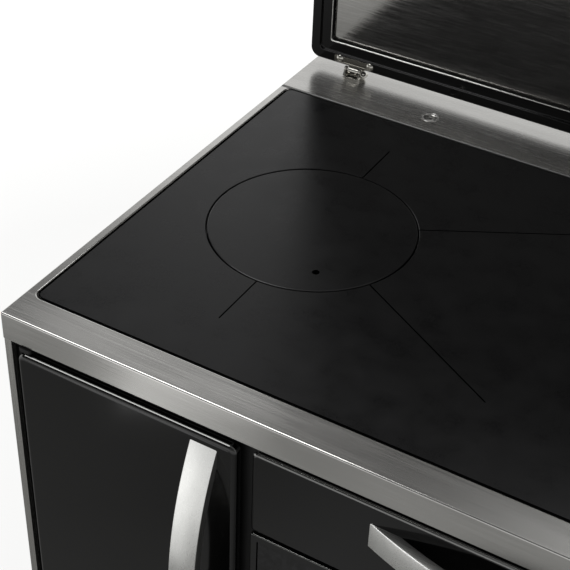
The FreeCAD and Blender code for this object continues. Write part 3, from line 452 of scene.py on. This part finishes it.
def roundedOutline(width, height, radius, steps=6):
    # four quarter circles of one radius about the inner corners, joined by straight runs; counter-clockwise
    radius = min(radius, width / 2, height / 2)
    angle = np.linspace(0, np.pi / 2, steps + 1)
    quarter = radius * np.stack([np.cos(angle), np.sin(angle)], 1)
    corners = []
    for turn, (sx, sy) in enumerate(((1, 1), (-1, 1), (-1, -1), (1, -1))):
        c, s = math.cos(turn * math.pi / 2), math.sin(turn * math.pi / 2)
        centre = [sx * (width / 2 - radius), sy * (height / 2 - radius)]
        corners.append(quarter @ np.array([[c, s], [-s, c]]) + centre)
    return np.concatenate(corners)


def outlineRings(width, height, profile, cornerAt):
    # one rounded outline per (inset, level) of profile; cornerAt gives the corner radius for an inset
    rings = []
    for inset, level in profile:
        outline = roundedOutline(width - 2 * inset, height - 2 * inset, cornerAt(inset))
        rings.append(np.pad(outline, ((0, 0), (0, 1)), constant_values=level))
    return np.stack(rings)


def revolved(profile, centre, axis, steps=32):
    # (radius, height) points carried round a full circle about a line through centre along axis
    profile = np.array(profile, float)
    angle = np.linspace(0, 2 * np.pi, steps, endpoint=False)
    axis = np.array(axis, float)
    side = np.cross(axis, [0, 0, 1] if abs(axis[2]) < 0.5 else [1, 0, 0])
    side /= np.linalg.norm(side)
    other = np.cross(axis, side)
    radius, height = profile[:, 0, None, None], profile[:, 1, None, None]
    circle = np.cos(angle)[:, None] * side + np.sin(angle)[:, None] * other
    return ringShell(np.array(centre) + radius * circle[None] + height * axis)


def chamfered(inner, outer, low, high, edge):
    # profile of a cylinder or sleeve whose outer rims are cut off by edge
    return [(inner, low), (outer - edge, low), (outer, low + edge), (outer, high - edge),
            (outer - edge, high), (inner, high)]


# ---- bar handles ----

barLook = {"thickness": 10 * mm, "edge": 0.8 * mm, "edgeSteps": 4, "alongSteps": 96, "sharp": 30}


def barHandle(node, body, upright):
    # flat bar bent to an arc: section point (p, q) goes to radius r = arc radius - thickness / 2 + q, and its
    # angle is u * acos((arc radius - reach) / r) for u from -1 to 1, so that both ends are cut flush with the
    # door
    low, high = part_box(node)
    reach = high.y - low.y
    wide, tall = high.x - low.x, high.z - low.z
    length, width = (tall, wide) if upright else (wide, tall)
    thickness = barLook["thickness"]
    arcRadius = (length ** 2 / 4 + reach ** 2) / (2 * reach)
    section = roundedOutline(width, thickness, barLook["edge"], barLook["edgeSteps"])
    radius = arcRadius - thickness / 2 + section[None, :, 1]
    u = np.linspace(-1, 1, barLook["alongSteps"])[:, None]
    angle = u * np.arccos((arcRadius - reach) / radius)
    along = radius * np.sin(angle)
    across = np.broadcast_to(section[None, :, 0], along.shape)
    y = high.y - (radius * np.cos(angle) - (arcRadius - reach))
    middle = (low + high) / 2
    if upright:
        points = np.stack([middle.x + across, y, middle.z + along], -1)
    else:
        points = np.stack([middle.x + along, y, middle.z + across], -1)
    finish = "bar_steel" if upright else "bar_steel_lying"
    makePiece(node + "_bar", ringShell(points), finish, body, [node], barLook["sharp"])


print("bar handles")
for body, upright in (("firebox_door", True), ("oven_door", False), ("ash_drawer", False),
                      ("wood_drawer", False)):
    barHandle(body + "_handle", body, upright)


# ---- small shapes ----

facingFront = [(1, 0, 0), (0, 0, 1), (0, -1, 0)]
facingBack = [(-1, 0, 0), (0, 0, 1), (0, 1, 0)]
facingUp = [(1, 0, 0), (0, 1, 0), (0, 0, 1)]


def placed(shell, origin, axes):
    # a local point (a, b, c) goes to origin + a * first axis + b * second axis + c * third axis
    return shell[0] @ np.array(axes, float) + np.array(origin), shell[1]


def mirroredPair(shells):
    # the same shells on both sides of the cooker's middle
    points, faces = joined(shells)
    return joined([(points, faces), (points * [-1, 1, 1], faces)])


def slab(width, height, thickness, corner, edge):
    # rounded rectangle with thickness along c: each ring is the outline drawn in by edge * (1 - cos t) at
    # level edge * (1 - sin t) for t from 0 to 90 degrees, mirrored at the other face
    t = np.linspace(0, np.pi / 2, 5)
    inset, level = edge * (1 - np.cos(t)), edge * (1 - np.sin(t))
    profile = zip(np.concatenate([inset[::-1], inset]), np.concatenate([level[::-1], thickness - level]))
    return ringShell(outlineRings(width, height, profile, lambda inset: max(corner - inset, edge / 4)))


def frameRing(width, height, bar, rise, corner):
    # ring-shaped plate: outer outline up, over to the inner outline and down again
    edge = bar / 5
    profile = [(0, 0), (0, rise - edge), (edge, rise), (bar - edge, rise), (bar, rise - edge), (bar, 0)]
    return ringShell(outlineRings(width, height, profile, lambda inset: max(corner - inset, edge)), True)


def crossScrew(radius, height, slot, rings=18, steps=56):
    # dome height * (1 - (r / radius)^2.6), sunk by 0.62 * height where the smaller of |a| and |b| lies within
    # the slot's half width and the larger one within 0.48 to 0.62 of the radius
    r = radius * np.linspace(1, 0.03, rings)[:, None]
    angle = np.linspace(0, 2 * np.pi, steps, endpoint=False)[None, :]
    a, b = r * np.cos(angle), r * np.sin(angle)
    narrow, wide = np.minimum(abs(a), abs(b)), np.maximum(abs(a), abs(b))
    withinWidth = np.clip(1.6 - 1.6 * (narrow / slot) ** 4, 0, 1)
    withinReach = np.clip((0.62 * radius - wide) / (0.14 * radius), 0, 1)
    c = height * (1 - (r / radius) ** 2.6) - 0.62 * height * withinWidth * withinReach
    return ringShell(np.stack([a, b, c], -1))


def plateFrom(outline, thickness, edge):
    # plate from a closed outline (b, c), its rim drawn in towards the middle by edge at both faces
    middle = outline.mean(0)
    smaller = 1 - edge / np.abs(outline - middle).max()
    rings = []
    for a, scale in ((0, smaller), (edge, 1), (thickness - edge, 1), (thickness, smaller)):
        rings.append(np.insert(middle + (outline - middle) * scale, 0, a, axis=1))
    return ringShell(np.stack(rings))


# ---- lid hinges ----

hingeLook = {
    "side": -0.389, "axisY": 0.281, "axisZ": 0.857, "floor": 0.85, "lidFace": 0.28, "leafFoot": 0.8646,
    "leaf": (52 * mm, 8.0 * mm, 1.5 * mm), "leafCorner": 2.4 * mm, "leafEdge": 0.2 * mm,
    "rolledFoot": 0.8 * mm, "rollShort": 1.5 * mm,
    "strap": (12.4 * mm, 8 * mm, 1 * mm), "strapCorner": 0.4 * mm, "strapDown": 2.6 * mm,
    "barrel": 4.2 * mm, "barrelBore": 1.9 * mm, "barrelEdge": 0.4 * mm, "barrelLong": 13.4 * mm,
    "screwReach": 20 * mm, "screwMiddle": 1.5 * mm, "screwUp": 4.6 * mm, "screwRadius": 4.5 * mm,
    "screwRise": 2.3 * mm, "screwSlot": 0.6 * mm,
    "eye": 3.9 * mm, "eyeDegrees": (-30, 210), "sole": (-6.4 * mm, 5.6 * mm), "soleUp": 0.6 * mm,
    "cheek": 2.2 * mm, "cheekEdge": 0.6 * mm, "cheekStarts": (-11.6 * mm, 7.2 * mm),
    "pin": 1.8 * mm, "pinHalf": 10 * mm,
    "boss": (12.4 * mm, 0.2815, 0.8558), "bossTilt": (0.5, -0.75, 0.43),
    "base": (25 * mm, 17 * mm, 1.6 * mm), "baseCorner": 3 * mm, "baseEdge": 0.4 * mm,
    "baseAt": (0.5 * mm, 0.2872),
    "loop": (17.5 * mm, 14 * mm), "loopBar": 2.0 * mm, "loopRise": 3.2 * mm, "loopCorner": 2.4 * mm,
    "loopAt": (2.4 * mm, 0.2757),
    "rib": (1.8 * mm, 12 * mm, 2.2 * mm), "ribCorner": 0.5 * mm, "ribEdge": 0.3 * mm,
    "stop": (21 * mm, 11.4 * mm, 3.8 * mm), "stopCorner": 1.5 * mm, "stopEdge": 0.8 * mm,
    "stopAt": (0.2909, 5.9 * mm),
    # a thin black slab of painted shade lies on the floor of the pocket inside the loop
    "well": (15 * mm, 12 * mm, 0.5 * mm), "wellCorner": 1 * mm, "wellEdge": 0.1 * mm,
}
# (radius, height) in mm: a round boss with a sunk ring about a small dome, and a black ring of
# painted shade that shows in the sunk ring
bossProfile = [(0, -2.5), (3.7, -2.5), (3.8, 0.2), (3.5, 0.7), (2.9, 0.8), (2.6, 0.3), (2.4, -0.8),
               (1.8, -0.8), (1.5, 0.5), (0.9, 0.9), (0, 1.0)]
shadeRingProfile = [(0, -0.7), (2.7, -0.7), (2.7, 0.6), (1.6, 0.6), (0, 0)]
alongX = (1, 0, 0)
screwSharp = 30


def lidHingeOnLid():
    # leaf with a rolled foot, strap down to the barrel, barrel and two screws
    look = hingeLook
    x, face, foot = look["side"], look["lidFace"], look["leafFoot"]
    wide, tall, thick = look["leaf"]
    leaf = placed(slab(wide, tall, thick, look["leafCorner"], look["leafEdge"]), (x, face, foot + tall / 2),
                  facingFront)
    roll, reach = look["rolledFoot"], wide / 2 - look["rollShort"]
    rollProfile = [(0, -reach), (roll * 0.7, -reach), (roll, roll - reach), (roll, reach - roll),
                   (roll * 0.7, reach), (0, reach)]
    rolled = revolved(rollProfile, (x, face - thick - 0.3 * roll, foot + roll), alongX, steps=20)
    strap = placed(slab(*look["strap"], look["strapCorner"], look["leafEdge"]),
                   (x, face, foot - look["strapDown"]), facingFront)
    # the leaves take the darker copy of the plating, which paints shade on them
    makePiece("lidHingeLeaves", mirroredPair([leaf, rolled, strap]), "shaded_plating", "lid",
              ["lid_hinge_leaves"])
    half = look["barrelLong"] / 2
    barrel = revolved(chamfered(look["barrelBore"], look["barrel"], -half, half, look["barrelEdge"]),
                      (x, look["axisY"], look["axisZ"]), alongX, steps=40)
    makePiece("lidHingeBarrels", mirroredPair([barrel]), "plated_steel", "lid")
    head = crossScrew(look["screwRadius"], look["screwRise"], look["screwSlot"])
    screws = []
    for side in (-1, 1):
        screwX = x + look["screwMiddle"] + side * look["screwReach"]
        screws.append(placed(head, (screwX, face - thick, foot + look["screwUp"]), facingFront))
    makePiece("lidHingeScrews", mirroredPair(screws), "plated_steel", "lid", ["lid_hinge_screws"],
              screwSharp)


def lidHingeOnStrip():
    # two cheeks with the pin, boss, base with a loop and its rib, and the stop behind
    look = hingeLook
    x, y, z, floor = look["side"], look["axisY"], look["axisZ"], look["floor"]
    # cheek outline: an arc of the eye's radius about the pin, closed by the straight sole
    angle = np.radians(np.linspace(*look["eyeDegrees"], 26))
    eye = np.stack([y + look["eye"] * np.cos(angle), z + look["eye"] * np.sin(angle)], 1)
    sole = np.array([(y + end, floor + look["soleUp"]) for end in look["sole"]])
    cheek = plateFrom(np.concatenate([eye, sole]), look["cheek"], look["cheekEdge"])
    cheeks = [placed(cheek, (x + start, 0, 0), facingUp) for start in look["cheekStarts"]]
    radius, half = look["pin"], look["pinHalf"]
    pin = revolved([(0, -half), (radius, -half), (radius, half), (0, half)], (x, y, z), alongX, steps=20)
    bossX, bossY, bossZ = look["boss"]
    bossAt = (x + bossX, bossY, bossZ)
    tilt = np.array(look["bossTilt"]) / np.linalg.norm(look["bossTilt"])
    boss = revolved(np.array(bossProfile) * mm, bossAt, tilt, steps=40)
    baseX, baseY = look["baseAt"]
    base = placed(slab(*look["base"], look["baseCorner"], look["baseEdge"]), (x + baseX, baseY, floor),
                  facingUp)
    loopX, loopY = look["loopAt"]
    loopAt = (x + loopX, loopY, floor)
    loop = placed(frameRing(*look["loop"], look["loopBar"], look["loopRise"], look["loopCorner"]), loopAt,
                  facingUp)
    rib = placed(slab(*look["rib"], look["ribCorner"], look["ribEdge"]), loopAt, facingUp)
    stopY, stopUp = look["stopAt"]
    stop = placed(slab(*look["stop"], look["stopCorner"], look["stopEdge"]), (x, stopY, floor + stopUp),
                  facingFront)
    shells = cheeks + [pin, boss, base, loop, rib, stop]
    makePiece("lidHingeBases", mirroredPair(shells), "plated_steel", "cooker",
              ["lid_hinge_bases", "lid_hinge_pins"])
    # painted shade: a black slab on the floor inside the loop and a black ring in the boss's sunk ring
    well = placed(slab(*look["well"], look["wellCorner"], look["wellEdge"]), loopAt, facingUp)
    shadeRing = revolved(np.array(shadeRingProfile) * mm, bossAt, tilt)
    makePiece("lidHingePaintedShade", mirroredPair([well, shadeRing]), "cast_black", "cooker")


print("lid hinges")
lidHingeOnLid()
lidHingeOnStrip()


# ---- edge of the lid's liner ----

foldLook = {"inset": 25 * mm, "depth": 3 * mm, "bead": 0.75 * mm, "beadIn": 0.3, "beadOut": 0.2, "around": 12,
            "corner": 2.5 * mm}


def linerFold():
    # bead whose section is a circle of radius bead, carried round the window's edge
    low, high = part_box("lid_shell")
    wide, tall = high.x - low.x - 2 * foldLook["inset"], high.z - low.z - 2 * foldLook["inset"]
    bead = foldLook["bead"]
    turn = np.linspace(0, 2 * np.pi, foldLook["around"], endpoint=False)
    section = bead * np.stack([foldLook["beadIn"] + np.cos(turn), foldLook["beadOut"] + np.sin(turn)], 1)
    rings = outlineRings(wide, tall, section, lambda inset: foldLook["corner"])
    origin = ((low.x + high.x) / 2, hingeLook["lidFace"] + foldLook["depth"], (low.z + high.z) / 2)
    makePiece("linerFold", placed(ringShell(rings, True), origin, facingFront), "polished_trim", "lid")


linerFold()


# ---- rope gaskets ----

ropeLook = {"step": 4 * mm, "around": 20, "cornerSteps": 14, "sharp": 60}


def flatRope(node, name, body, bandWidth, cornerRadius):
    # oval of half width bandWidth / 2 and half the gasket's thickness, carried round a rounded rectangle;
    # its map runs along the rope and round it in metres
    low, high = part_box(node)
    middle = (low + high) / 2
    outline = roundedOutline(high.x - low.x - bandWidth, high.z - low.z - bandWidth, cornerRadius,
                             ropeLook["cornerSteps"])
    closed = np.concatenate([outline, outline[:1]])
    runs = np.concatenate([[0], np.cumsum(np.linalg.norm(np.diff(closed, axis=0), axis=1))])
    at = np.linspace(0, runs[-1], int(runs[-1] / ropeLook["step"]) + 1)
    path = np.stack([np.interp(at, runs, closed[:, 0]), np.interp(at, runs, closed[:, 1])], 1)
    along = np.roll(path[:-1], -1, 0) - np.roll(path[:-1], 1, 0)
    along = np.concatenate([along, along[:1]])
    along /= np.linalg.norm(along, axis=1, keepdims=True)
    outward = np.stack([along[:, 1], -along[:, 0]], 1)
    angle = np.linspace(0, 2 * np.pi, ropeLook["around"] + 1)[:-1]
    offset = (bandWidth / 2 * np.cos(angle))[None, :, None] * outward[:, None, :]
    flat = path[:, None, :] + offset
    y = np.broadcast_to(middle.y + (high.y - low.y) / 2 * np.sin(angle), flat.shape[:2])
    points = np.stack([middle.x + flat[..., 0], y, middle.z + flat[..., 1]], -1)
    uv = np.stack(np.broadcast_arrays(at[:, None], (angle * bandWidth / 3)[None, :]), -1).reshape(-1, 2)
    makePiece(name, ringShell(points), "rope", body, [node], ropeLook["sharp"], ("ropeMap", uv))


print("rope gaskets")
flatRope("firebox_door_gasket", "fireboxRope", "firebox_door", 8 * mm, 18 * mm)
flatRope("oven_door_gasket", "ovenRope", "oven_door", 9 * mm, 28 * mm)


# ---- plug, feet and screws ----

# (radius, height) in mm: rolled rim, steep wall, a faint step and a floor that sinks towards its middle
plugProfile = [(0, -6), (5, -6), (5, -3), (10.3, -3), (10.3, -0.1), (10.1, 0.3), (9.7, 0.5), (9.2, 0.45),
               (8.8, 0.15), (8.5, -0.6), (8.0, -1.1), (7.0, -1.45), (6.2, -1.3), (5.6, -1.35), (3.6, -1.7),
               (1.5, -1.9), (0, -1.95)]
plugPlace = (-0.2694, 0.2443, 0.85)
padProfile = [(0, 0), (21, 0), (22, 1), (22, 3.4), (21, 4.4), (13, 7), (10, 10), (0, 10)]
footLook = {"pad": 22 * mm, "nut": 11 * mm, "nutLow": 13 * mm, "nutHigh": 22 * mm, "nutEdge": 1 * mm,
            "stud": 5.6 * mm, "studLow": 9 * mm, "threadLow": 12 * mm, "studShort": 1 * mm,
            "pitch": 2.0 * mm, "thread": 0.6 * mm}
backScrews = {"radius": 4 * mm, "rise": 1.8 * mm, "slot": 0.55 * mm, "face": 0.299, "sideX": 0.436,
              "lowZ": 0.125, "highZ": 0.835, "perSide": 6}
upwards = (0, 0, 1)


def stripPlug():
    cup = revolved(np.array(plugProfile) * mm, plugPlace, upwards, steps=56)
    makePiece("stripPlug", cup, "stainless", "cooker", ["rear_strip_plug"], sharpDegrees=50)


def levellingFeet():
    # pad, six-sided lock nut and a stud whose radius falls by the thread's depth and back once in every pitch
    look = footLook
    low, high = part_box("levelling_feet")
    turns = np.arange(look["threadLow"], high.z - look["studShort"], look["pitch"] / 2)
    thread = look["stud"] - look["thread"] * (np.arange(len(turns)) % 2)
    studProfile = [(0, look["studLow"])] + list(zip(thread, turns)) + [(0, turns[-1])]
    nutProfile = chamfered(0, look["nut"], look["nutLow"], look["nutHigh"], look["nutEdge"])
    parts = []
    for x in (low.x + look["pad"], high.x - look["pad"]):
        for y in (low.y + look["pad"], high.y - look["pad"]):
            parts.append(revolved(np.array(padProfile) * mm, (x, y, 0), upwards, steps=40))
            parts.append(revolved(studProfile, (x, y, 0), upwards, steps=20))
            parts.append(revolved(nutProfile, (x, y, 0), upwards, steps=6))
    makePiece("levellingFeet", joined(parts), "zinc_steel", "cooker", ["levelling_feet"],
              sharpDegrees=35)


def panelScrews():
    # pan-head screws down both edges and along the top and bottom of the back panel
    look = backScrews
    side, low, high, count = look["sideX"], look["lowZ"], look["highZ"], look["perSide"]
    places = [(x, z) for x in (-side, side) for z in np.linspace(low, high, count)]
    places += [(x, z) for x in np.linspace(-side, side, count)[1:-1] for z in (low, high)]
    head = crossScrew(look["radius"], look["rise"], look["slot"], rings=14, steps=36)
    heads = [placed(head, (x, look["face"], z), facingBack) for x, z in places]
    makePiece("panelScrews", joined(heads), "zinc_steel", "cooker", (), screwSharp)


print("plug, feet and screws")
stripPlug()
levellingFeet()
panelScrews()


# ---- camera, floor and light ----

cameraSet = {"place": (0.2667, -1.0415, 1.6606), "pan": 29.17, "tilt": 37.46, "roll": 2.27,
             "lens": 87.73, "sensor": 36.0, "clip": (0.05, 50)}
stageSet = {"floorSize": 16.0, "floorColour": "#a6a6a4", "cameraGlow": 0.7, "glow": 0.75, "dimRadius": 1.5,
            "whiteRadius": 3.0, "frontBoard": 0.125, "boardX": (-0.62, -0.38), "boardY": (-0.85, -0.6)}
# directions run from -1 to 1; each pair says where a change of brightness starts and ends
roomSet = {"fill": 0.4, "wallTop": (0.56, 0.67), "aboveWall": 0.14, "rightPanel": 0.6,
           "panelX": (-0.24, -0.17), "wallEnd": (-0.535, -0.512), "besideUp": (0.35, 0.45),
           "besideWall": 0.15, "frontY": (-0.35, 0.1), "frontUp": (0.1, 0.4), "front": 0.18}
lampSet = {
    "overheadBox": {"place": (-1.62, 0.0, 3.6), "target": (-1.62, 0.0, 0.7), "size": (1.35, 2.0),
                    "watts": 38},
    "backBox": {"place": (0.3, 2.0, 3.2), "target": (0, 0, 0.8), "size": (0.9, 0.8), "watts": 7},
    "lowBox": {"place": (-0.69, -1.02, 0.5), "target": (-0.22, -0.3, 0.8), "size": (0.26, 0.7),
               "watts": 0.55},
}


def addCamera():
    data = bpy.data.cameras.new("camera")
    data.lens, data.sensor_width = cameraSet["lens"], cameraSet["sensor"]
    data.clip_start, data.clip_end = cameraSet["clip"]
    camera = bpy.data.objects.new("camera", data)
    bpy.context.scene.collection.objects.link(camera)
    pan, tilt, roll = (math.radians(cameraSet[key]) for key in ("pan", "tilt", "roll"))
    turn = Matrix.Rotation(pan, 4, "Z") @ Matrix.Rotation(math.pi / 2 - tilt, 4, "X")
    camera.matrix_world = Matrix.Translation(cameraSet["place"]) @ turn @ Matrix.Rotation(roll, 4, "Z")
    bpy.context.scene.camera = camera


def rayKinds(tree):
    # 1 for rays from the camera, and 1 for rays that a surface mirrors or a pane lets through
    path = addNode(tree, "ShaderNodeLightPath").outputs
    mirrored = calculate(tree, "MAXIMUM", path["Is Glossy Ray"], path["Is Transmission Ray"])
    return path["Is Camera Ray"], mirrored


def addFloor():
    # pale matte floor that keeps the cooker's shadow; from dimRadius to whiteRadius it runs out to white,
    # with a slightly brighter board in front of the right half for what is mirrored
    half = stageSet["floorSize"] / 2
    corners = [(-half, -half, 0), (half, -half, 0), (half, half, 0), (-half, half, 0)]
    mesh = bpy.data.meshes.new("floor")
    mesh.from_pydata(corners, [], [(0, 1, 2, 3)])
    floor = bpy.data.objects.new("floor", mesh)
    bpy.context.scene.collection.objects.link(floor)
    material, tree, shader = newMaterial("paleFloor", {"Base Color": stageSet["floorColour"],
                                                       "Emission Color": "#ffffff", "Roughness": 0.9,
                                                       "Specular IOR Level": 0.0})
    seen, mirrored = rayKinds(tree)
    place = ownPlace(tree)
    distance = addNode(tree, "ShaderNodeVectorMath", {0: place}, operation="LENGTH").outputs["Value"]
    reach = (stageSet["dimRadius"], stageSet["whiteRadius"])
    glow = between(tree, distance, 0.0, stageSet["glow"], *reach)
    cameraGlow = between(tree, distance, stageSet["cameraGlow"], 1.0, *reach)
    x, y = split(tree, place)[:2]
    board = calculate(tree, "MULTIPLY", between(tree, x, 0.0, stageSet["frontBoard"], *stageSet["boardX"]),
                      between(tree, y, 1.0, 0.0, *stageSet["boardY"]))
    toCamera = calculate(tree, "MULTIPLY", seen, cameraGlow)
    toMirrors = calculate(tree, "MULTIPLY", calculate(tree, "ADD", glow, board), mirrored)
    connect(tree, shader, {"Emission Strength": calculate(tree, "ADD", toCamera, toMirrors)})
    mesh.materials.append(material)


def addWorld():
    # a white room seen in metal and glass: its back wall ends above and at the left, and it is dim behind the
    # camera; diffuse surfaces get one even fill, and the camera sees pure white
    world = bpy.data.worlds.new("studio")
    bpy.context.scene.world = world
    world.use_nodes = True
    tree = world.node_tree
    tree.nodes.clear()
    x, y, z = split(tree, addNode(tree, "ShaderNodeTexCoord").outputs["Generated"])
    seen, mirrored = rayKinds(tree)
    above = between(tree, x, roomSet["aboveWall"], roomSet["rightPanel"], *roomSet["panelX"])
    high = blend(tree, between(tree, z, 0.0, 1.0, *roomSet["wallTop"]), 1.0, above)
    beside = calculate(tree, "MULTIPLY", between(tree, x, 1.0, 0.0, *roomSet["wallEnd"]),
                       between(tree, z, 0.0, 1.0, *roomSet["besideUp"]))
    left = between(tree, beside, 1.0, roomSet["besideWall"])
    behind = calculate(tree, "MULTIPLY", between(tree, y, 1.0, 0.0, *roomSet["frontY"]),
                       between(tree, z, 0.0, 1.0, *roomSet["frontUp"]))
    front = between(tree, behind, 1.0, roomSet["front"])
    room = calculate(tree, "MULTIPLY", calculate(tree, "MULTIPLY", high, left), front)
    strength = blend(tree, seen, blend(tree, mirrored, roomSet["fill"], room), 1.0)
    white = hexToLinear("#ffffff")
    background = addNode(tree, "ShaderNodeBackground", {"Color": white, "Strength": strength})
    addNode(tree, "ShaderNodeOutputWorld", {"Surface": background.outputs[0]})


def addLamp(name, place, target, size, watts):
    data = bpy.data.lights.new(name, "AREA")
    data.shape = "RECTANGLE"
    data.size, data.size_y = size
    data.energy = watts
    lamp = bpy.data.objects.new(name, data)
    bpy.context.scene.collection.objects.link(lamp)
    lamp.location = place
    lamp.rotation_euler = (Vector(target) - Vector(place)).to_track_quat("-Z", "Y").to_euler()


print("camera, floor and light")
bpy.context.scene.view_settings.view_transform = "Standard"
addCamera()
addFloor()
addWorld()
for name, lamp in lampSet.items():
    addLamp(name, **lamp)
